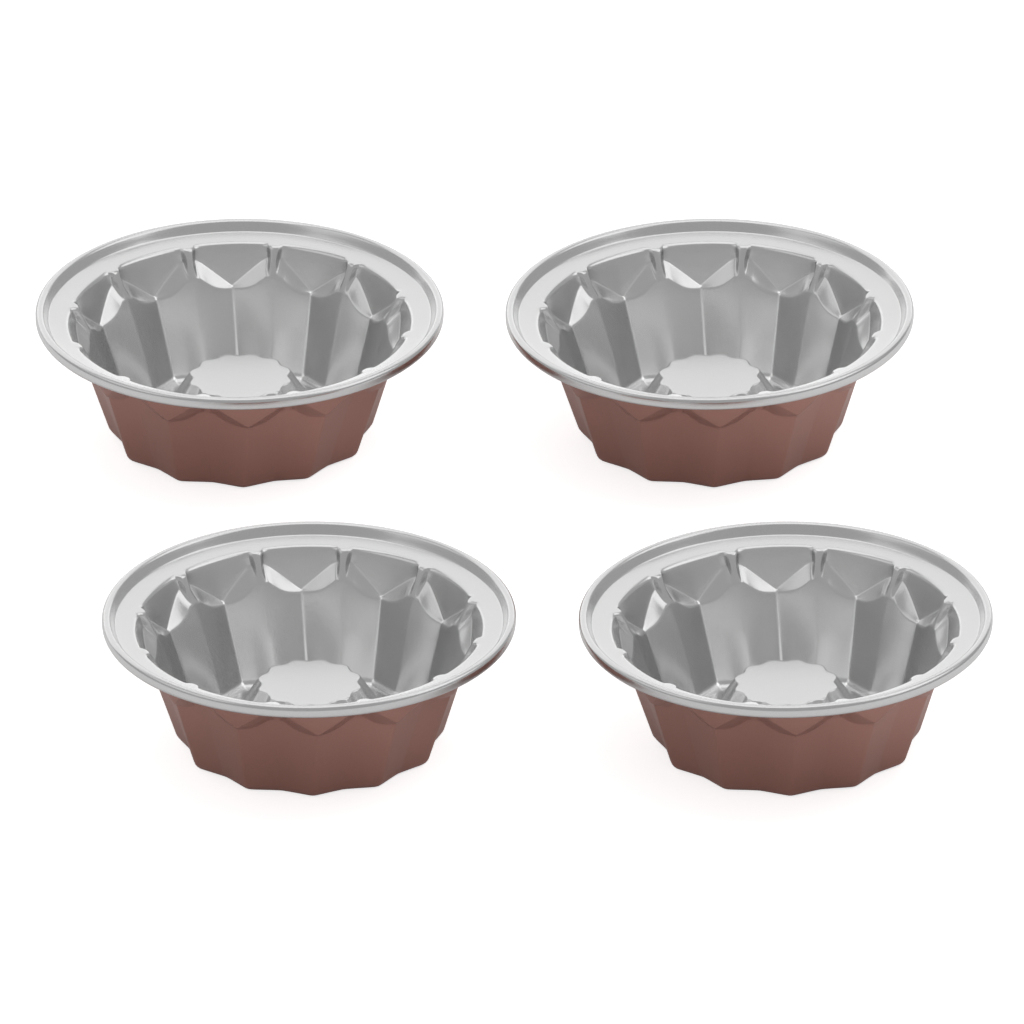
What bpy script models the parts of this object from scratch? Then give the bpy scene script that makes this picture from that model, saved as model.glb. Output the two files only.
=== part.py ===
"""Four small round fluted baking pans, set out in two staggered rows.

Each pan is pressed from one sheet: a raised twelve-sided centre boss, a flat
trough that the pan stands on, a wall of twelve pointed lobes, a smooth band
cut by swags under the mouth, a flange and a step up to a rolled rim with a
stiffening wire inside it. All four pans are alike and stand free.

Units are metres, +Z is up, and the pans stand on the plane Z = 0 with the
middle of the set at the origin.
"""
import math

import bmesh
import bpy

# Sheet and overall size of one pan
RIM_DIAMETER = 0.127
PAN_HEIGHT = 0.043
SHEET = 0.0005

# Rolled rim: a round top, a short straight skirt and a curled-in foot
BEAD_RADIUS = 0.00142
BEAD_HEIGHT = 0.0040
CURL_END_DEG = 165.0
WIRE_CLEARANCE = 0.0003

# Step, and the flange between it and the mouth
STEP_RUN = 0.0012
FLANGE_DROP = 0.0032
FLANGE_WIDTH = 0.0063
FLANGE_SLOPE = 0.11
MOUTH_FILLET = 0.0019

# Twelve lobes: the ridge is each lobe's point, the fold lies between two lobes
LOBES = 12
FIRST_RIDGE_DEG = 91.7
RIDGE_DRAFT = 0.32
FOLD_INSET_FOOT = 0.0031
FOLD_INSET_MOUTH = 0.0015
RIB_HALF_DEG = 2.6

# Swags: the crease and the softer arc that bound the small step out to the band
SWAG_STEP = 0.0005
CREASE_LOW = 0.0266
CREASE_HIGH = 0.0349
ARC_LOW = 0.0260
ARC_HIGH = 0.0304
ARC_POWER = 2.4

# Foot fillet, trough and centre boss
FOOT_FILLET = 0.0034
BOSS_HEIGHT = 0.0194
BOSS_RADIUS = 0.0160
BOSS_DRAFT = 0.63
BOSS_FLUTE = 0.0012
BOSS_EDGE = 0.0008
BOSS_FILLET = 0.0030

# Places of the pans on the table
PAIR_PITCH = 0.1461
PAIR_SKEW = 0.0029
ROW_PITCH = 0.2093
ROW_SHIFT = 0.0216

# Finishes: colour, roughness and metallic value
COAT_FINISH = ((0.62, 0.62, 0.61), 0.34, 0.9)
WIRE_FINISH = ((0.56, 0.57, 0.58), 0.3, 1.0)

# Segments of round stretches, and the bend past which an edge stays crisp
RIM_SIDES = 40
WIRE_SIDES = 5
BEAD_STEPS = 3
CURL_STEPS = 3
FILLET_STEPS = 2
CRISP_DEG = 24.0
SAME_ANGLE = 1e-6

RIM_RADIUS = RIM_DIAMETER / 2.0
BEAD_CENTRE = (RIM_RADIUS - BEAD_RADIUS, PAN_HEIGHT - BEAD_RADIUS)
CURL_CENTRE = (RIM_RADIUS - BEAD_RADIUS, PAN_HEIGHT - BEAD_HEIGHT + BEAD_RADIUS)
MOUTH_RADIUS = RIM_RADIUS - 2.0 * BEAD_RADIUS - STEP_RUN - FLANGE_WIDTH
FLANGE_OUTER = (MOUTH_RADIUS + FLANGE_WIDTH, PAN_HEIGHT - FLANGE_DROP)
WIRE_RADIUS = BEAD_RADIUS - SHEET - WIRE_CLEARANCE
LOBE_ANGLE = 2.0 * math.pi / LOBES


def clear_scene():
    for obj in list(bpy.data.objects):
        bpy.data.objects.remove(obj, do_unlink=True)


def flange_height(radius):
    """Height of the flange's upper face, which falls gently to the mouth."""
    return FLANGE_OUTER[1] - FLANGE_SLOPE * (FLANGE_OUTER[0] - radius)


def band_radius(height):
    """Inner radius of the smooth band, a straight line that leans out to the mouth."""
    return MOUTH_RADIUS - RIDGE_DRAFT * (flange_height(MOUTH_RADIUS) - height)


def fold_radius(height):
    """Inner radius of the folds between the lobes, set in from the band's line."""
    share = height / flange_height(MOUTH_RADIUS)
    inset = FOLD_INSET_FOOT + (FOLD_INSET_MOUTH - FOLD_INSET_FOOT) * share
    return band_radius(height) - inset


def panel_radius(height, offset):
    """Radius of the flat panel from ridge to fold, offset radians from the ridge."""
    ridge = band_radius(height) - SWAG_STEP
    fold = fold_radius(height)
    half = LOBE_ANGLE / 2.0
    across = ridge * math.sin(offset) + fold * math.sin(half - offset)
    return ridge * fold * math.sin(half) / across


def boss_radius(height, offset):
    """Radius of the boss, widest at the folds and dipping at the ridges."""
    corner = BOSS_RADIUS + BOSS_DRAFT * (BOSS_HEIGHT - height)
    swing = abs(offset) / (LOBE_ANGLE / 2.0)
    return corner - BOSS_FLUTE * (corner / BOSS_RADIUS) * (1.0 - swing)


def fillet(start, corner, end, radius, steps):
    """Points of an arc of the given radius that rounds a corner of three points."""
    def unit(a, b):
        length = math.hypot(b[0] - a[0], b[1] - a[1])
        return ((b[0] - a[0]) / length, (b[1] - a[1]) / length)

    back = unit(corner, start)
    ahead = unit(corner, end)
    turn = math.acos(max(-1.0, min(1.0, back[0] * ahead[0] + back[1] * ahead[1])))
    reach = radius / math.tan(turn / 2.0)
    middle = (back[0] + ahead[0], back[1] + ahead[1])
    size = math.hypot(*middle)
    away = radius / math.sin(turn / 2.0) / size
    centre = (corner[0] + middle[0] * away, corner[1] + middle[1] * away)
    first = (corner[0] + back[0] * reach, corner[1] + back[1] * reach)
    last = (corner[0] + ahead[0] * reach, corner[1] + ahead[1] * reach)
    begin = math.atan2(first[1] - centre[1], first[0] - centre[0])
    finish = math.atan2(last[1] - centre[1], last[0] - centre[0])
    sweep = (finish - begin + math.pi) % (2.0 * math.pi) - math.pi
    angles = [begin + sweep * i / steps for i in range(steps + 1)]
    return [
        (centre[0] + radius * math.cos(a), centre[1] + radius * math.sin(a))
        for a in angles
    ]


def lobe_azimuths(offsets):
    """Azimuths round the pan for offsets from each ridge, with the ridge's offset."""
    first = math.radians(FIRST_RIDGE_DEG)
    return [
        (first + lobe * LOBE_ANGLE + offset, offset)
        for lobe in range(LOBES)
        for offset in offsets
    ]


def lower_section(offset):
    """Boss, trough and foot of the upper face, from the boss's edge outwards."""
    floor = SHEET
    top = BOSS_HEIGHT
    edge = (boss_radius(top, offset), top)
    foot = (boss_radius(floor, offset), floor)
    wall_foot = (panel_radius(floor, abs(offset)), floor)
    wall_up = (panel_radius(ARC_LOW, abs(offset)), ARC_LOW)
    points = fillet((0.0, top), edge, foot, BOSS_EDGE, 1)
    points += fillet(edge, foot, wall_foot, BOSS_FILLET, FILLET_STEPS)
    points += fillet(foot, wall_foot, wall_up, FOOT_FILLET, FILLET_STEPS)
    return points


def upper_section(offset):
    """Swag and mouth of the upper face, from the arc up to the flange."""
    half = LOBE_ANGLE / 2.0
    rib_edge = half - math.radians(RIB_HALF_DEG)
    share = min(1.0, abs(offset) / rib_edge)
    arc_height = ARC_LOW + (ARC_HIGH - ARC_LOW) * share ** ARC_POWER
    crease_height = CREASE_LOW + (CREASE_HIGH - CREASE_LOW) * share
    on_rib = abs(offset) > rib_edge + SAME_ANGLE
    wall = fold_radius if on_rib else band_radius
    slope_top = (wall(flange_height(MOUTH_RADIUS)), flange_height(MOUTH_RADIUS))
    corner = (slope_top[0], flange_height(slope_top[0]))
    below = (wall(crease_height), crease_height)
    points = [(panel_radius(arc_height, abs(offset)), arc_height), below]
    points += fillet(below, corner, FLANGE_OUTER, MOUTH_FILLET, FILLET_STEPS)
    return points


def rim_section():
    """Upper face of the rim: flange edge, step, round top, skirt and curled foot."""
    gap = (BEAD_CENTRE[0] - FLANGE_OUTER[0], BEAD_CENTRE[1] - FLANGE_OUTER[1])
    spread = math.asin(BEAD_RADIUS / math.hypot(*gap))
    start = math.atan2(gap[1], gap[0]) + spread + math.pi / 2.0
    points = [FLANGE_OUTER]
    for i in range(BEAD_STEPS + 1):
        angle = start * (1.0 - i / BEAD_STEPS)
        points.append((BEAD_CENTRE[0] + BEAD_RADIUS * math.cos(angle),
                       BEAD_CENTRE[1] + BEAD_RADIUS * math.sin(angle)))
    for i in range(CURL_STEPS + 1):
        angle = -math.radians(CURL_END_DEG) * i / CURL_STEPS
        points.append((CURL_CENTRE[0] + BEAD_RADIUS * math.cos(angle),
                       CURL_CENTRE[1] + BEAD_RADIUS * math.sin(angle)))
    return points


def add_rings(mesh, azimuths, section):
    """Rings of vertices, one for each point of the section, inner ring first."""
    columns = [(azimuth, section(offset)) for azimuth, offset in azimuths]
    rings = []
    for row in range(len(columns[0][1])):
        ring = []
        for azimuth, points in columns:
            radius, height = points[row]
            place = (radius * math.cos(azimuth), radius * math.sin(azimuth), height)
            ring.append((azimuth, mesh.verts.new(place)))
        rings.append(ring)
    return rings


def stitch(mesh, inner, outer):
    """Faces between two rings whose azimuths both rise from about the same start."""
    i = 0
    j = 0
    turn = 2.0 * math.pi
    while i < len(inner) or j < len(outer):
        here = inner[i % len(inner)][1]
        there = outer[j % len(outer)][1]
        next_in = inner[(i + 1) % len(inner)]
        next_out = outer[(j + 1) % len(outer)]
        angle_in = next_in[0] + (turn if i + 1 >= len(inner) else 0.0)
        angle_out = next_out[0] + (turn if j + 1 >= len(outer) else 0.0)
        if i < len(inner) and j < len(outer) and abs(angle_in - angle_out) < SAME_ANGLE:
            mesh.faces.new((here, there, next_out[1], next_in[1]))
            i += 1
            j += 1
        elif j >= len(outer) or (i < len(inner) and angle_in < angle_out):
            mesh.faces.new((here, there, next_in[1]))
            i += 1
        else:
            mesh.faces.new((here, there, next_out[1]))
            j += 1


def pan_mesh():
    """Upper face of one pan, from the boss's flat top to the curl's inner end."""
    mesh = bmesh.new()
    half = LOBE_ANGLE / 2.0
    rib_edge = half - math.radians(RIB_HALF_DEG)
    low = lobe_azimuths((0.0, half))
    high = lobe_azimuths((0.0, rib_edge / 2.0, rib_edge, half, -rib_edge, -rib_edge / 2.0))
    high = [
        (azimuth + (LOBE_ANGLE if offset < 0.0 else 0.0), offset)
        for azimuth, offset in high
    ]
    start = math.radians(FIRST_RIDGE_DEG)
    round_rim = [(start + 2.0 * math.pi * i / RIM_SIDES, 0.0) for i in range(RIM_SIDES)]
    rings = add_rings(mesh, low, lower_section)
    rings += add_rings(mesh, high, upper_section)
    rim_points = rim_section()
    rings += add_rings(mesh, round_rim, lambda offset: rim_points)
    mesh.faces.new([vertex for azimuth, vertex in rings[0]])
    for inner, outer in zip(rings, rings[1:]):
        stitch(mesh, inner, outer)
    bmesh.ops.recalc_face_normals(mesh, faces=mesh.faces)
    cap = mesh.faces[0]
    if cap.normal.z < 0.0:
        bmesh.ops.reverse_faces(mesh, faces=mesh.faces)
    data = bpy.data.meshes.new("pressed_sheet")
    mesh.to_mesh(data)
    mesh.free()
    data.shade_smooth()
    data.set_sharp_from_angle(angle=math.radians(CRISP_DEG))
    return data


def wire_mesh():
    """A closed ring of round wire that lies inside the rolled rim."""
    centre_radius = BEAD_CENTRE[0]
    centre_height = (BEAD_CENTRE[1] + CURL_CENTRE[1]) / 2.0
    mesh = bmesh.new()
    rings = []
    for side in range(WIRE_SIDES):
        angle = 2.0 * math.pi * side / WIRE_SIDES
        radius = centre_radius + WIRE_RADIUS * math.cos(angle)
        height = centre_height + WIRE_RADIUS * math.sin(angle)
        ring = []
        for i in range(RIM_SIDES):
            azimuth = math.radians(FIRST_RIDGE_DEG) + 2.0 * math.pi * i / RIM_SIDES
            place = (radius * math.cos(azimuth), radius * math.sin(azimuth), height)
            ring.append((azimuth, mesh.verts.new(place)))
        rings.append(ring)
    for side in range(WIRE_SIDES):
        stitch(mesh, rings[side], rings[(side + 1) % WIRE_SIDES])
    bmesh.ops.recalc_face_normals(mesh, faces=mesh.faces)
    data = bpy.data.meshes.new("rim_wire")
    mesh.to_mesh(data)
    mesh.free()
    data.shade_smooth()
    return data


def finish(name, colour, roughness, metallic):
    """A plain Principled material."""
    material = bpy.data.materials.new(name)
    material.use_nodes = True
    shader = material.node_tree.nodes["Principled BSDF"]
    shader.inputs["Base Color"].default_value = (*colour, 1.0)
    shader.inputs["Roughness"].default_value = roughness
    shader.inputs["Metallic"].default_value = metallic
    return material


def place(name, data, parent, material):
    """An object that shares a mesh and sits on its pan's own centre."""
    obj = bpy.data.objects.new(name, data)
    bpy.context.scene.collection.objects.link(obj)
    obj.parent = parent
    obj.material_slots[0].link = "OBJECT"
    obj.material_slots[0].material = material
    return obj


def pan_places():
    """Name and centre of each pan, a slanted two by two grid about the origin."""
    places = []
    for row, depth in (("back", 1.0), ("front", -1.0)):
        for side, hand in (("left", -1.0), ("right", 1.0)):
            x = hand * PAIR_PITCH / 2.0 - depth * ROW_SHIFT / 2.0
            y = depth * ROW_PITCH / 2.0 - hand * PAIR_SKEW / 2.0
            places.append((f"{row}_{side}", x, y))
    return places


def build():
    clear_scene()
    sheet_data = pan_mesh()
    wire_data = wire_mesh()
    sheet_data.materials.append(None)
    wire_data.materials.append(None)
    for name, x, y in pan_places():
        centre = bpy.data.objects.new(f"{name}_centre", None)
        bpy.context.scene.collection.objects.link(centre)
        centre.location = (x, y, 0.0)
        coat = finish(f"{name}_pan_coat", *COAT_FINISH)
        steel = finish(f"{name}_wire_steel", *WIRE_FINISH)
        pan = place(f"{name}_pan", sheet_data, centre, coat)
        wall = pan.modifiers.new("sheet", "SOLIDIFY")
        wall.thickness = SHEET
        wall.offset = -1.0
        wall.use_even_offset = True
        wall.use_quality_normals = True
        place(f"{name}_rim_wire", wire_data, centre, steel)


build()
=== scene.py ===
"""Looks of a set of four small round fluted baking pans, satin silver inside and bronze outside.

Each pan is one pressed sheet, worked out as a grid of columns round the pan and rows along
its section, with a wire ring inside its rolled rim. Units are metres and radians, and +Z
is up.
"""
import math

import bpy
import numpy as np
from mathutils import Matrix, Vector


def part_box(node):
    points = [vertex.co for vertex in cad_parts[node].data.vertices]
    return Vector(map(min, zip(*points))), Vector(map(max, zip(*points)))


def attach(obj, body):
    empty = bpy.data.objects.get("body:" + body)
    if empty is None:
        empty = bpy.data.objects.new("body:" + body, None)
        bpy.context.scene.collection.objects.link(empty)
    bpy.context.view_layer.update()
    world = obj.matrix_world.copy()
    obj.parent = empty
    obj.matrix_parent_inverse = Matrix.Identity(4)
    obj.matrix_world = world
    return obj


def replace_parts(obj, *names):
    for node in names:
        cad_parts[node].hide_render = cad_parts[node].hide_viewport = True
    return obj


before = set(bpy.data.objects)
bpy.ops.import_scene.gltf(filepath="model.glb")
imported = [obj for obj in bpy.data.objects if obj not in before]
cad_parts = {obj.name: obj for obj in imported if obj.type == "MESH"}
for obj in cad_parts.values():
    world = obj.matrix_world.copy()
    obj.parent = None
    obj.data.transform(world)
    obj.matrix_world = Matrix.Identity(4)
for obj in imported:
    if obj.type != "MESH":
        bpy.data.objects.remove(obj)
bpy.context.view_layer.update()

PANS = {
    "back_left": "root",
    "back_right": "back_right_body",
    "front_left": "front_left_body",
    "front_right": "front_right_body",
}

# One pan
RIM_RADIUS = 0.0635
PAN_HEIGHT = 0.043
SHEET = 0.0005

# Rolled rim
BEAD_RADIUS = 0.00142
BEAD_HEIGHT = 0.0040
CURL_END = math.radians(165.0)
WIRE_CLEARANCE = 0.0003
WIRE_RADIUS = BEAD_RADIUS - SHEET - WIRE_CLEARANCE

# Step and flange
STEP_RUN = 0.0012
STEP_FOOT_REACH = 0.00045
FLANGE_DROP = 0.0032
FLANGE_WIDTH = 0.0063
FLANGE_SLOPE = 0.11
MOUTH_FILLET = 0.0019
MOUTH_RADIUS = RIM_RADIUS - 2.0 * BEAD_RADIUS - STEP_RUN - FLANGE_WIDTH
FLANGE_OUTER = (MOUTH_RADIUS + FLANGE_WIDTH, PAN_HEIGHT - FLANGE_DROP)

# Wall of twelve lobes. The folds between them lie inside the band's line by the insets. A
# rib's steep sides run between two distances from its crest, and the crest slopes by a
# share to the metre.
LOBES = 12
HALF_LOBE = math.pi / LOBES
FIRST_RIDGE = math.radians(91.7)
TURN_AT_FOOT = math.radians(-0.4)
TURN_AT_CREASE = math.radians(1.4)
RIDGE_DRAFT = 0.32
FOLD_INSET_FOOT = 0.0034
FOLD_INSET_ARC = 0.0031
FOLD_INSET_MOUTH = 0.0015
RIDGE_SOFTNESS = 0.0003
HEEL_SOFTNESS = 0.0014
FOLD_SOFTNESS = 0.0006
RIB_WIDTH = 0.0024
RIB_AT_CREASE = (0.0004, 0.0018)
RIB_AT_MOUTH = (0.0011, 0.0025)
RIB_SLOPE = 110.0
FOOT_FILLET = 0.0034

# Swags: a crescent between a low arc and a straight crease, and the small step out to the
# band above it
SWAG_STEP = 0.0008
CREASE_LOW = 0.0266
CREASE_HIGH = 0.0349
CREASE_REACH = 0.0003
ARC_LOW = 0.0260
ARC_HIGH = 0.0304
ARC_POWER = 2.4
ARC_REACH = 0.0006
CRESCENT_HOLLOW = 0.015

# Painted highlight: base colour made lighter in narrow lines along the ridges and creases, kept
# near the wall and under the flange
LINE_REACH = 0.0003
PAINTED_HIGHLIGHT_LIFT = 0.22
LINE_BEHIND_BAND = 0.005
LINE_BELOW_FLANGE = 0.003

# Centre boss
BOSS_HEIGHT = 0.0194
BOSS_RADIUS = 0.0160
BOSS_DRAFT = 0.63
BOSS_FLUTE = 0.0012
BOSS_EDGE = 0.0008
BOSS_FILLET = 0.0030

# Columns of one lobe: over a rib, across the flat panel, and towards the ridge
RIB_COLUMNS = 12
RIB_COLUMNS_REACH = RIB_WIDTH * 1.06
PANEL_COLUMNS = 7
RIDGE_COLUMNS = (0.0010, 0.0006, 0.0003, 0.0)

# Rows of the section from the middle outwards, as counts or as shares of the way
CAP_SHARES = (0.3, 0.65, 0.92)
CORNER_STEPS = 6
FLANK_ROWS = 4
TROUGH_ROWS = 2
WALL_ROWS = 5
ARC_STEPS = 4
HOLLOW_SHARES = (0.15, 0.35, 0.6, 0.85)
CREASE_STEPS = 3
BAND_ROWS = 3
LIP_STEPS = 8
FLANGE_ROWS = 2
STEP_FOOT_STEPS = 5
STEP_ROWS = 1
BEAD_ROWS = 14
SKIRT_ROWS = 1
CURL_ROWS = 10

# Faces of the wire ring
WIRE_COLUMNS = 160
WIRE_SIDES = 12

# The photograph's view
VIEW_ELEVATION = math.radians(26.9)
VIEW_ROLL = 0.009
PIXELS_PER_METRE = 3240.0
PICTURE_PIXELS = 1024.0
SET_CENTRE_PIXEL = (510.7, 465.5)
LENS = 1500.0
SENSOR = 36.0

# Floor and world, with light levels as the brightness of a white card
WORLD_LEVEL = 0.44
FLOOR_HALF_WIDTH = 30.0
FLOOR_SHADE = 0.78
FLOOR_ROUGHNESS = 0.9
FLOOR_LIFT = 0.74
FLOOR_SHEEN = 0.05

# Softboxes: place, point they face, width, height and light level. The coats reflect all but
# the overhead one.
SET_CENTRE = (0.0, 0.0, 0.0)
SOFTBOXES = {
    "back_softbox": ((-0.25, 1.29, 0.92), SET_CENTRE, 3.2, 1.2, 0.58),
    "horizon_softbox": ((-0.2, 1.47, 0.31), SET_CENTRE, 3.2, 0.32, 0.70),
    "top_softbox": ((0.0, 0.25, 1.5), (0.0, 0.25, 0.0), 1.4, 1.2, 0.70),
    "right_softbox": ((1.07, -0.08, 1.19), SET_CENTRE, 1.2, 0.85, 0.78),
    "left_softbox": ((-1.10, -0.30, 1.02), SET_CENTRE, 1.2, 0.7, 0.35),
    "overhead_softbox": ((1.0, 0.2, 1.7), SET_CENTRE, 1.2, 1.2, 1.8),
}

# Coats: colour, metallic share, grain and height of the grain
FLAKE_DETAIL = 2.0
FLAKE_ROUGHNESS_SHARE = 0.5
CLOUD_DETAIL = 3.0
CLOUD_SCALE = 45.0
COATS = {
    "silver_coat": ((0.70, 0.70, 0.70), 1.0,
                    {"Flake Size": 0.0004, "Flake Strength": 0.10, "Cloud Strength": 0.05,
                     "Base Roughness": 0.23, "Roughness Spread": 0.05}, 0.00001),
    "bronze_coat": ((0.455, 0.238, 0.198), 0.65,
                    {"Flake Size": 0.0005, "Flake Strength": 0.10, "Cloud Strength": 0.05,
                     "Base Roughness": 0.33, "Roughness Spread": 0.04}, 0.000005),
    "wire_steel": ((0.55, 0.55, 0.56), 1.0,
                   {"Flake Size": 0.0006, "Flake Strength": 0.08, "Cloud Strength": 0.1,
                    "Base Roughness": 0.30, "Roughness Spread": 0.1}, 0.00001),
}


def flange_height(radius):
    """Height of the flange, a gentle cone that falls inwards."""
    return FLANGE_OUTER[1] - FLANGE_SLOPE * (FLANGE_OUTER[0] - radius)


def band_radius(height):
    """Radius of the smooth band, a straight line that leans out up to the mouth."""
    return MOUTH_RADIUS - RIDGE_DRAFT * (flange_height(MOUTH_RADIUS) - height)


def fold_radius(height):
    """Radius of the folds, the band's radius less the inset at that height."""
    heights = (0.0, ARC_HIGH, flange_height(MOUTH_RADIUS))
    insets = (FOLD_INSET_FOOT, FOLD_INSET_ARC, FOLD_INSET_MOUTH)
    return band_radius(height) - np.interp(height, heights, insets)


def from_ridge(azimuth, softness=RIDGE_SOFTNESS):
    """Angle to the nearest ridge, a folded saw wave whose two tips are rounded by square roots.

    Root(w^2 + a^2) - root((H - w)^2 + b^2) - w is flat at w = 0 and at w = H, and rises evenly
    between. It is scaled to run from zero at a ridge to half a lobe at a fold.
    """
    wave = np.abs((azimuth - FIRST_RIDGE + HALF_LOBE) % (2.0 * HALF_LOBE) - HALF_LOBE)
    a = softness / MOUTH_RADIUS
    b = FOLD_SOFTNESS / MOUTH_RADIUS
    rise = np.hypot(wave, a) - np.hypot(HALF_LOBE - wave, b) - wave
    low = a - math.hypot(HALF_LOBE, b)
    high = math.hypot(HALF_LOBE, a) - b - HALF_LOBE
    return HALF_LOBE * np.clip((rise - low) / (high - low), 0.0, 1.0)


def lobe_turn(radius):
    """Angle that the lobes are turned by, which grows evenly outwards from foot to crease."""
    foot = band_radius(0.0)
    crease = band_radius(CREASE_LOW)
    return np.interp(radius, (foot, crease), (TURN_AT_FOOT, TURN_AT_CREASE))


def panel_radius(height, offset):
    """Radius of the straight chord from ridge to fold, by the polar form of a line."""
    ridge = band_radius(height) - SWAG_STEP
    fold = fold_radius(height)
    across = ridge * np.sin(offset) + fold * np.sin(HALF_LOBE - offset)
    return ridge * fold * math.sin(HALF_LOBE) / across


def rib_share(offset, sides):
    """One on a rib's crest, a gentle roof to both sides, then a steep smooth step to zero."""
    distance = (HALF_LOBE - offset) * MOUTH_RADIUS
    t = np.clip((distance - sides[0]) / (sides[1] - sides[0]), 0.0, 1.0)
    return (1.0 - RIB_SLOPE * distance) * (1.0 - t * t * (3.0 - 2.0 * t))


def boss_radius(height, offset):
    """Radius of the boss, a cone with one cosine wave to a lobe, widest at the folds."""
    corner = BOSS_RADIUS + BOSS_DRAFT * (BOSS_HEIGHT - height)
    wave = 0.5 + 0.5 * np.cos(math.pi * offset / HALF_LOBE)
    return corner - BOSS_FLUTE * corner / BOSS_RADIUS * wave


def rounded_corner(start, corner, end, steps, reach=None, radius=None):
    """Rows of a circular arc across a corner, as a rational quadratic curve.

    Its ends lie at one distance from the corner on both legs, and its middle weight is the
    cosine of half the turn. A radius sets that distance to radius times tan(turn / 2).
    """
    back = start - corner
    ahead = end - corner
    back = back / np.linalg.norm(back, axis=-1, keepdims=True)
    ahead = ahead / np.linalg.norm(ahead, axis=-1, keepdims=True)
    turn = np.arccos(np.clip(-(back * ahead).sum(-1, keepdims=True), -1.0, 1.0))
    if reach is None:
        reach = radius * np.tan(turn / 2.0)
    weight = np.cos(turn / 2.0)
    rows = []
    for t in np.linspace(0.0, 1.0, steps + 1):
        a, b, c = (1.0 - t) ** 2, 2.0 * t * (1.0 - t) * weight, t ** 2
        point = a * (corner + back * reach) + b * corner + c * (corner + ahead * reach)
        rows.append(point / (a + b + c))
    return rows


def between(first, last, count):
    """Rows at even steps strictly between two rows."""
    return [first + (last - first) * i / (count + 1.0) for i in range(1, count + 1)]


def column_azimuths():
    """Azimuths of the columns, close together at the ribs and ridges and wider between."""
    half_arc = HALF_LOBE * MOUTH_RADIUS
    rib = np.linspace(0.0, RIB_COLUMNS_REACH, RIB_COLUMNS)
    ridge = half_arc - np.array(RIDGE_COLUMNS)
    panel = np.linspace(rib[-1], ridge[0], PANEL_COLUMNS)
    from_fold = np.concatenate([rib, panel[1:-1], ridge]) / MOUTH_RADIUS
    lobe = np.concatenate([HALF_LOBE - from_fold[::-1], HALF_LOBE + from_fold[1:-1]])
    starts = FIRST_RIDGE + 2.0 * HALF_LOBE * np.arange(LOBES)
    return (starts[:, None] + lobe[None, :]).ravel()


def pair(radius, height, like):
    """Radius and height of one row as an array with a line for each column."""
    return np.stack(np.broadcast_arrays(radius, height, like)[:2], axis=-1).astype(float)


def lower_rows(offset, foot, arc):
    """Rows of the boss, the trough and the wall's foot, from the middle outwards."""
    top = pair(boss_radius(BOSS_HEIGHT, offset), BOSS_HEIGHT, offset)
    middle = pair(0.0, BOSS_HEIGHT, offset)
    boss_foot = pair(boss_radius(SHEET, offset), SHEET, offset)
    edge = rounded_corner(middle, top, boss_foot, CORNER_STEPS, radius=BOSS_EDGE)
    root = rounded_corner(top, boss_foot, foot, CORNER_STEPS, radius=BOSS_FILLET)
    heel = rounded_corner(boss_foot, foot, arc, CORNER_STEPS, radius=FOOT_FILLET)
    cap = [middle + (edge[0] - middle) * share for share in CAP_SHARES]
    flank = between(edge[-1], root[0], FLANK_ROWS)
    trough = between(root[-1], heel[0], TROUGH_ROWS)
    return cap + edge + flank + root + trough + heel


def swag_rows(foot, arc, crease, mouth, flange_edge, heel):
    """Rows of the wall from its foot over the arc and the crease to the mouth's edge.

    Between arc and crease lies the crescent, hollowed by a parabola 4 t (1 - t).
    """
    soft = rounded_corner(foot, arc, crease, ARC_STEPS, reach=ARC_REACH)
    crisp = rounded_corner(arc, crease, mouth, CREASE_STEPS, reach=CREASE_REACH)
    lip = rounded_corner(crease, mouth, flange_edge, LIP_STEPS, radius=MOUTH_FILLET)
    step = crisp[0] - soft[-1]
    depth = CRESCENT_HOLLOW * np.linalg.norm(step, axis=-1)
    hollow = []
    for t in HOLLOW_SHARES:
        row = soft[-1] + step * t
        row[:, 0] += 4.0 * t * (1.0 - t) * depth
        hollow.append(row)
    rows = between(heel, soft[0], WALL_ROWS) + soft + hollow + crisp
    return rows + between(crisp[-1], lip[0], BAND_ROWS) + lip


def rim_rows(offset, lip):
    """Rows of the flange, the step, the round bead, its skirt and the curled foot."""
    bead = np.array([RIM_RADIUS - BEAD_RADIUS, PAN_HEIGHT - BEAD_RADIUS])
    curl = np.array([RIM_RADIUS - BEAD_RADIUS, PAN_HEIGHT - BEAD_HEIGHT + BEAD_RADIUS])
    gap = bead - np.array(FLANGE_OUTER)
    spread = math.asin(BEAD_RADIUS / np.linalg.norm(gap))
    start = math.atan2(gap[1], gap[0]) + spread + math.pi / 2.0
    top_arc = [bead + BEAD_RADIUS * np.array([math.cos(a), math.sin(a)])
               for a in np.linspace(start, 0.0, BEAD_ROWS)]
    foot_arc = [curl + BEAD_RADIUS * np.array([math.cos(a), math.sin(a)])
                for a in np.linspace(0.0, -CURL_END, CURL_ROWS)]
    corner = pair(*FLANGE_OUTER, offset)
    first = pair(*top_arc[0], offset)
    step_foot = rounded_corner(lip, corner, first, STEP_FOOT_STEPS, reach=STEP_FOOT_REACH)
    rows = between(lip, step_foot[0], FLANGE_ROWS) + step_foot
    rows += between(step_foot[-1], first, STEP_ROWS)
    rows += [pair(*point, offset) for point in top_arc]
    rows += between(rows[-1], pair(*foot_arc[0], offset), SKIRT_ROWS)
    return rows + [pair(*point, offset) for point in foot_arc]


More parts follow.
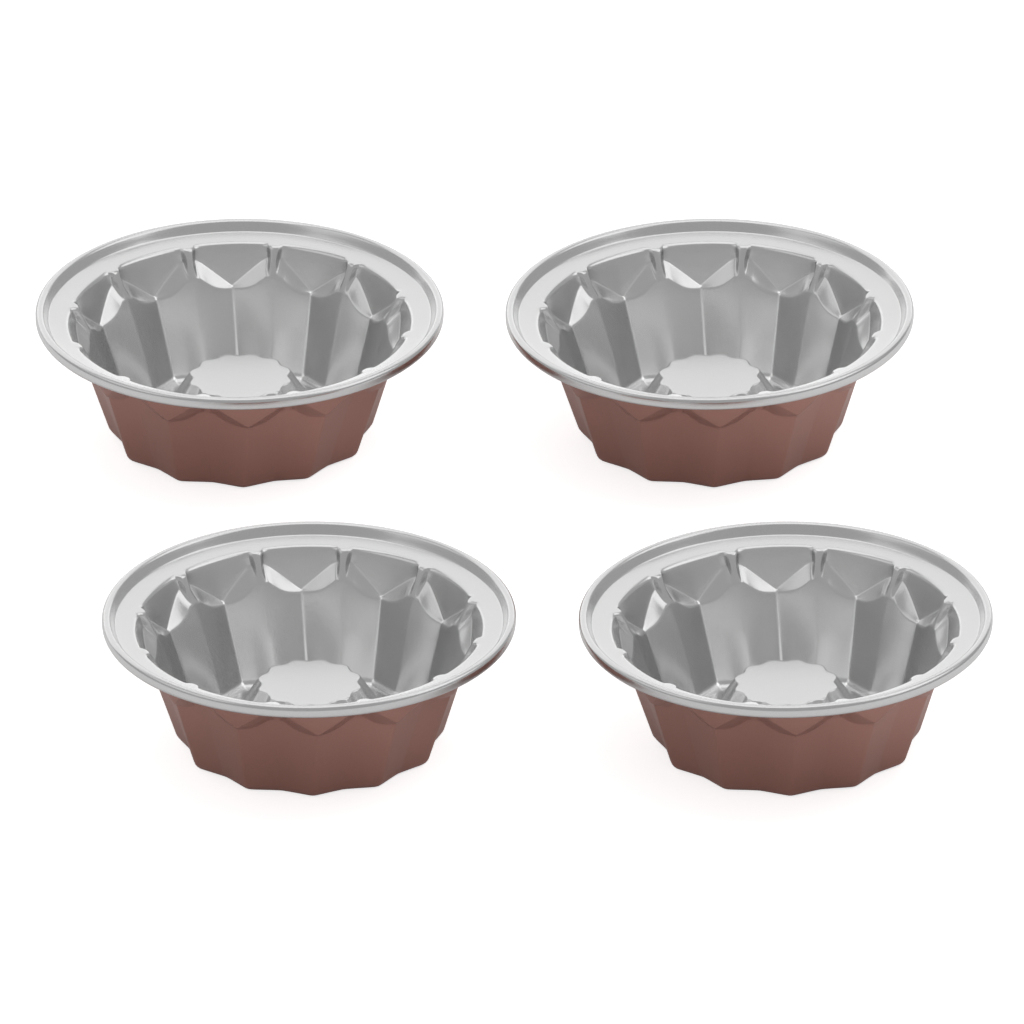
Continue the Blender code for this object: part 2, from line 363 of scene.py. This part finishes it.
def painted_highlight_lines(azimuth, section):
    """Strength of the painted highlight, a lighter colour along the ridges and creases, as a
    narrow bell across each line.
    """
    offset = from_ridge(azimuth)
    height = section[..., 1]
    share = np.minimum(1.0, offset / (HALF_LOBE - RIB_WIDTH / MOUTH_RADIUS))
    crease = CREASE_LOW + (CREASE_HIGH - CREASE_LOW) * share
    on_wall = section[..., 0] > band_radius(height) - LINE_BEHIND_BAND
    on_wall &= height < FLANGE_OUTER[1] - LINE_BELOW_FLANGE
    ridge_line = np.exp(-(offset * MOUTH_RADIUS / LINE_REACH) ** 2) * (height < crease)
    crease_line = np.exp(-((height - crease) / LINE_REACH) ** 2) * (share < 1.0)
    return np.maximum(ridge_line, crease_line) * on_wall


def upper_section(azimuth):
    """Radius and height of every row and column of the sheet's upper face."""
    offset = from_ridge(azimuth)
    rib_edge = HALF_LOBE - RIB_WIDTH / MOUTH_RADIUS
    share = np.minimum(1.0, offset / rib_edge)
    arc_height = ARC_LOW + (ARC_HIGH - ARC_LOW) * share ** ARC_POWER
    crease_height = CREASE_LOW + (CREASE_HIGH - CREASE_LOW) * share
    top = flange_height(MOUTH_RADIUS)

    def ribbed(height, sides):
        rib = rib_share(offset, sides)
        return (1.0 - rib) * band_radius(height) + rib * fold_radius(height)

    heel_offset = from_ridge(azimuth, HEEL_SOFTNESS)
    foot = pair(panel_radius(SHEET, heel_offset), SHEET, offset)
    arc = pair(panel_radius(arc_height, offset), arc_height, offset)
    crease = pair(ribbed(crease_height, RIB_AT_CREASE), crease_height, offset)
    mouth_radius = ribbed(top, RIB_AT_MOUTH)
    mouth = pair(mouth_radius, flange_height(mouth_radius), offset)
    flange_edge = pair(*FLANGE_OUTER, offset)
    rows = lower_rows(offset, foot, arc)
    rows += swag_rows(foot, arc, crease, mouth, flange_edge, rows[-1])
    rows += rim_rows(offset, rows[-1])
    return np.array(rows)


def under_section(upper):
    """The underside: each row moved by the sheet's thickness along its mean normal."""
    mean = upper.mean(axis=1)
    along = np.gradient(mean, axis=0)
    along /= np.linalg.norm(along, axis=1, keepdims=True)
    down = np.stack([along[:, 1], -along[:, 0]], axis=1)
    return upper + down[:, None, :] * SHEET


def grid_faces(first, rows, columns):
    """Corners of the quads between neighbouring rows and columns, closed round the pan."""
    row, column = np.meshgrid(np.arange(rows - 1), np.arange(columns), indexing="ij")
    after = (column + 1) % columns
    here = first + row * columns
    above = here + columns
    corners = [here + column, above + column, above + after, here + after]
    return np.stack(corners, axis=-1).reshape(-1, 4)


def new_mesh(name, points, quads, triangles, materials, material_index):
    """A smooth-shaded mesh object at the origin from arrays of points and faces."""
    mesh = bpy.data.meshes.new(name)
    corners = np.concatenate([quads.ravel(), triangles.ravel()]).astype(np.int32)
    sizes = np.concatenate([np.full(len(quads), 4), np.full(len(triangles), 3)])
    mesh.vertices.add(len(points))
    mesh.vertices.foreach_set("co", points.astype(np.float32).ravel())
    mesh.loops.add(len(corners))
    mesh.loops.foreach_set("vertex_index", corners)
    mesh.polygons.add(len(sizes))
    mesh.polygons.foreach_set("loop_start", (np.cumsum(sizes) - sizes).astype(np.int32))
    mesh.polygons.foreach_set("material_index", material_index.astype(np.int32))
    mesh.polygons.foreach_set("use_smooth", np.ones(len(sizes), bool))
    for material in materials:
        mesh.materials.append(material)
    mesh.update(calc_edges=True)
    mesh.validate()
    piece = bpy.data.objects.new(name, mesh)
    bpy.context.scene.collection.objects.link(piece)
    return piece


def pressed_pan(name, centre, materials):
    """One closed sheet: silver upper grid, bronze under grid, two poles and the curl's cut edge.

    Every point is turned round the pan's axis by the turn of the lobes at its radius.
    """
    azimuth = column_azimuths()
    upper = upper_section(azimuth)
    under = under_section(upper)
    rows, columns = upper.shape[:2]
    section = np.concatenate([upper, under])
    turned = azimuth + lobe_turn(section[..., 0])
    x = centre[0] + section[..., 0] * np.cos(turned)
    y = centre[1] + section[..., 0] * np.sin(turned)
    points = np.stack([x, y, section[..., 1]], axis=-1).reshape(-1, 3)
    poles = np.array([[centre[0], centre[1], BOSS_HEIGHT],
                      [centre[0], centre[1], BOSS_HEIGHT - SHEET]])
    top_pole = len(points)
    points = np.concatenate([points, poles])
    count = rows * columns
    ring = np.arange(columns)
    after = (ring + 1) % columns
    over = grid_faces(0, rows, columns)
    below = grid_faces(count, rows, columns)[:, ::-1]
    last = (rows - 1) * columns
    under_last = count + last
    edge = np.stack([last + ring, under_last + ring, under_last + after, last + after], axis=-1)
    fan = np.stack([np.full(columns, top_pole), ring, after], axis=-1)
    under_fan = np.stack([np.full(columns, top_pole + 1), count + after, count + ring], axis=-1)
    quads = np.concatenate([over, below, edge])
    triangles = np.concatenate([fan, under_fan])
    coat = np.concatenate([np.zeros(len(over)), np.ones(len(below)), np.zeros(len(edge)),
                           np.zeros(columns), np.ones(columns)])
    pan = new_mesh(name, points, quads, triangles, materials, coat)
    # Painted highlight: lighter colour in narrow lines along the ridges and creases of the silver
    # face, kept in a point attribute
    shine = np.zeros(len(points), np.float32)
    shine[:count] = painted_highlight_lines(azimuth, upper).ravel()
    pan.data.attributes.new("painted_line_highlight", "FLOAT", "POINT").data.foreach_set("value", shine)
    return pan


def rim_wire(name, centre, material):
    """A ring of round wire: a circle turned round the pan's axis."""
    turn = np.linspace(0.0, 2.0 * math.pi, WIRE_COLUMNS, endpoint=False)[None, :]
    side = np.linspace(0.0, 2.0 * math.pi, WIRE_SIDES, endpoint=False)[:, None]
    radius = RIM_RADIUS - BEAD_RADIUS + WIRE_RADIUS * np.cos(side)
    height = PAN_HEIGHT - BEAD_HEIGHT / 2.0 + WIRE_RADIUS * np.sin(side)
    x = centre[0] + radius * np.cos(turn)
    y = centre[1] + radius * np.sin(turn)
    z = np.broadcast_to(height, x.shape)
    points = np.stack([x, y, z], axis=-1).reshape(-1, 3)
    row, column = np.meshgrid(np.arange(WIRE_SIDES), np.arange(WIRE_COLUMNS), indexing="ij")
    here = row * WIRE_COLUMNS
    above = (row + 1) % WIRE_SIDES * WIRE_COLUMNS
    after = (column + 1) % WIRE_COLUMNS
    corners = [here + column, here + after, above + after, above + column]
    quads = np.stack(corners, axis=-1).reshape(-1, 4)
    return new_mesh(name, points, quads, np.zeros((0, 3), int), [material], np.zeros(len(quads)))


def grain_group():
    """Grain of a metallic coat: fine flakes, soft cloudiness, and a shallow height."""
    group = bpy.data.node_groups.new("coat_grain", "ShaderNodeTree")
    for name in ("Flake Size", "Flake Strength", "Cloud Strength", "Base Roughness",
                 "Roughness Spread"):
        group.interface.new_socket(name, in_out="INPUT", socket_type="NodeSocketFloat")
    group.interface.new_socket("Place", in_out="INPUT", socket_type="NodeSocketVector")
    for name in ("Tone", "Roughness", "Height"):
        group.interface.new_socket(name, in_out="OUTPUT", socket_type="NodeSocketFloat")
    nodes, links = group.nodes, group.links
    given = nodes.new("NodeGroupInput")
    made = nodes.new("NodeGroupOutput")

    def maths(operation, first, second=None, third=None):
        node = nodes.new("ShaderNodeMath")
        node.operation = operation
        for socket, value in zip(node.inputs, (first, second, third)):
            if isinstance(value, (int, float)):
                socket.default_value = value
            elif value is not None:
                links.new(value, socket)
        return node.outputs[0]

    def noise(scale, detail):
        node = nodes.new("ShaderNodeTexNoise")
        node.inputs["Detail"].default_value = detail
        links.new(given.outputs["Place"], node.inputs["Vector"])
        if isinstance(scale, (int, float)):
            node.inputs["Scale"].default_value = scale
        else:
            links.new(scale, node.inputs["Scale"])
        return maths("SUBTRACT", node.outputs["Fac"], 0.5)

    flakes = noise(maths("DIVIDE", 1.0, given.outputs["Flake Size"]), FLAKE_DETAIL)
    clouds = noise(CLOUD_SCALE, CLOUD_DETAIL)
    tone = maths("MULTIPLY_ADD", flakes, given.outputs["Flake Strength"], 1.0)
    tone = maths("MULTIPLY_ADD", clouds, given.outputs["Cloud Strength"], tone)
    links.new(tone, made.inputs["Tone"])
    uneven = maths("ADD", maths("MULTIPLY", flakes, FLAKE_ROUGHNESS_SHARE), clouds)
    rough = maths("MULTIPLY_ADD", uneven, given.outputs["Roughness Spread"],
                  given.outputs["Base Roughness"])
    links.new(rough, made.inputs["Roughness"])
    links.new(flakes, made.inputs["Height"])
    return group


def coat_material(name, group, colour, metallic, grain, bump):
    """A metallic coat whose colour, roughness and surface carry the shared grain, and whose colour
    is made lighter along the ridges and creases by a painted highlight where the mesh has one.
    """
    material = bpy.data.materials.new(name)
    material.use_nodes = True
    nodes, links = material.node_tree.nodes, material.node_tree.links
    shader = nodes["Principled BSDF"]
    shader.inputs["Metallic"].default_value = metallic
    place = nodes.new("ShaderNodeTexCoord")
    texture = nodes.new("ShaderNodeGroup")
    texture.node_tree = group
    for socket, value in grain.items():
        texture.inputs[socket].default_value = value
    links.new(place.outputs["Object"], texture.inputs["Place"])
    tint = nodes.new("ShaderNodeVectorMath")
    tint.operation = "SCALE"
    tint.inputs[0].default_value = colour
    # Painted highlight: the colour is lifted along the ridges and creases by the point attribute
    line = nodes.new("ShaderNodeAttribute")
    line.attribute_name = "painted_line_highlight"
    lighter = nodes.new("ShaderNodeMath")
    lighter.operation = "MULTIPLY_ADD"
    lighter.inputs[1].default_value = PAINTED_HIGHLIGHT_LIFT
    links.new(line.outputs["Fac"], lighter.inputs[0])
    links.new(texture.outputs["Tone"], lighter.inputs[2])
    links.new(lighter.outputs[0], tint.inputs["Scale"])
    links.new(tint.outputs[0], shader.inputs["Base Color"])
    links.new(texture.outputs["Roughness"], shader.inputs["Roughness"])
    relief = nodes.new("ShaderNodeBump")
    relief.inputs["Distance"].default_value = bump
    links.new(texture.outputs["Height"], relief.inputs["Height"])
    links.new(relief.outputs[0], shader.inputs["Normal"])
    return material


def floor_and_world():
    """A pale floor that keeps the shadow, and a soft world that is white to the camera.

    Seen straight from the camera the floor is lifted, so that it comes out nearly white, and
    in reflections it is lifted only a little.
    """
    size = FLOOR_HALF_WIDTH
    mesh = bpy.data.meshes.new("studio_floor")
    corners = [(-size, -size, 0.0), (size, -size, 0.0), (size, size, 0.0), (-size, size, 0.0)]
    mesh.from_pydata(corners, [], [(0, 1, 2, 3)])
    floor = bpy.data.objects.new("studio_floor", mesh)
    bpy.context.scene.collection.objects.link(floor)
    material = bpy.data.materials.new("floor_white")
    material.use_nodes = True
    nodes, links = material.node_tree.nodes, material.node_tree.links
    shader = nodes["Principled BSDF"]
    shader.inputs["Base Color"].default_value = (FLOOR_SHADE, FLOOR_SHADE, FLOOR_SHADE, 1.0)
    shader.inputs["Roughness"].default_value = FLOOR_ROUGHNESS
    shader.inputs["Specular IOR Level"].default_value = 0.0
    shader.inputs["Emission Color"].default_value = (1.0, 1.0, 1.0, 1.0)
    path = nodes.new("ShaderNodeLightPath")
    sheen = nodes.new("ShaderNodeMath")
    sheen.operation = "MULTIPLY"
    sheen.inputs[1].default_value = FLOOR_SHEEN
    links.new(path.outputs["Is Glossy Ray"], sheen.inputs[0])
    lift = nodes.new("ShaderNodeMath")
    lift.operation = "MULTIPLY_ADD"
    lift.inputs[1].default_value = FLOOR_LIFT
    links.new(path.outputs["Is Camera Ray"], lift.inputs[0])
    links.new(sheen.outputs[0], lift.inputs[2])
    links.new(lift.outputs[0], shader.inputs["Emission Strength"])
    mesh.materials.append(material)

    world = bpy.data.worlds.new("soft_studio")
    world.use_nodes = True
    bpy.context.scene.world = world
    nodes, links = world.node_tree.nodes, world.node_tree.links
    sky = nodes["Background"]
    sky.inputs["Color"].default_value = (1.0, 1.0, 1.0, 1.0)
    path = nodes.new("ShaderNodeLightPath")
    level = nodes.new("ShaderNodeMath")
    level.operation = "MAXIMUM"
    level.inputs[1].default_value = WORLD_LEVEL
    links.new(path.outputs["Is Camera Ray"], level.inputs[0])
    links.new(level.outputs[0], sky.inputs["Strength"])


def softbox(name, place, aim, width, height, brightness):
    """A rectangular area lamp that faces a point, with the power for that light level."""
    data = bpy.data.lights.new(name, "AREA")
    data.shape = "RECTANGLE"
    data.size = width
    data.size_y = height
    data.energy = math.pi * width * height * brightness
    lamp = bpy.data.objects.new(name, data)
    bpy.context.scene.collection.objects.link(lamp)
    lamp.location = place
    lamp.rotation_euler = (Vector(aim) - Vector(place)).to_track_quat("-Z", "Y").to_euler()
    return lamp


def photo_camera():
    """A long lens at the photograph's angle, scale and roll, aimed so the set lands in place."""
    data = bpy.data.cameras.new("photo_camera")
    data.sensor_width = SENSOR
    data.lens = LENS
    distance = PICTURE_PIXELS / PIXELS_PER_METRE * LENS / SENSOR
    data.clip_start = distance / 100.0
    data.clip_end = distance * 10.0
    view = Vector((0.0, math.cos(VIEW_ELEVATION), -math.sin(VIEW_ELEVATION)))
    flat_up = Vector((0.0, math.sin(VIEW_ELEVATION), math.cos(VIEW_ELEVATION)))
    right = Vector((math.cos(VIEW_ROLL), 0.0, 0.0)) - math.sin(VIEW_ROLL) * flat_up
    up = Vector((math.sin(VIEW_ROLL), 0.0, 0.0)) + math.cos(VIEW_ROLL) * flat_up
    across = (SET_CENTRE_PIXEL[0] - PICTURE_PIXELS / 2.0) / PIXELS_PER_METRE
    down = (SET_CENTRE_PIXEL[1] - PICTURE_PIXELS / 2.0) / PIXELS_PER_METRE
    set_centre = Vector((0.0, 0.0, PAN_HEIGHT - BEAD_HEIGHT / 2.0))
    target = set_centre - right * across + up * down
    place = target - view * distance
    camera = bpy.data.objects.new("photo_camera", data)
    bpy.context.scene.collection.objects.link(camera)
    camera.matrix_world = Matrix((
        (right.x, up.x, -view.x, place.x),
        (right.y, up.y, -view.y, place.y),
        (right.z, up.z, -view.z, place.z),
        (0.0, 0.0, 0.0, 1.0),
    ))
    bpy.context.scene.camera = camera


def main():
    bpy.context.scene.view_settings.view_transform = "Standard"
    photo_camera()
    floor_and_world()
    lamps = {name: softbox(name, *values) for name, values in SOFTBOXES.items()}
    lamps["overhead_softbox"].visible_glossy = False

    grain = grain_group()
    silver, bronze, steel = (coat_material(name, grain, *values) for name, values in COATS.items())
    for name, body in PANS.items():
        low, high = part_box(f"{name}_pan")
        centre = ((low.x + high.x) / 2.0, (low.y + high.y) / 2.0)
        pan = pressed_pan(f"{name}_pressed_pan", centre, [silver, bronze])
        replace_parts(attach(pan, body), f"{name}_pan")
        wire = rim_wire(f"{name}_wire_ring", centre, steel)
        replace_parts(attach(wire, body), f"{name}_rim_wire")


main()
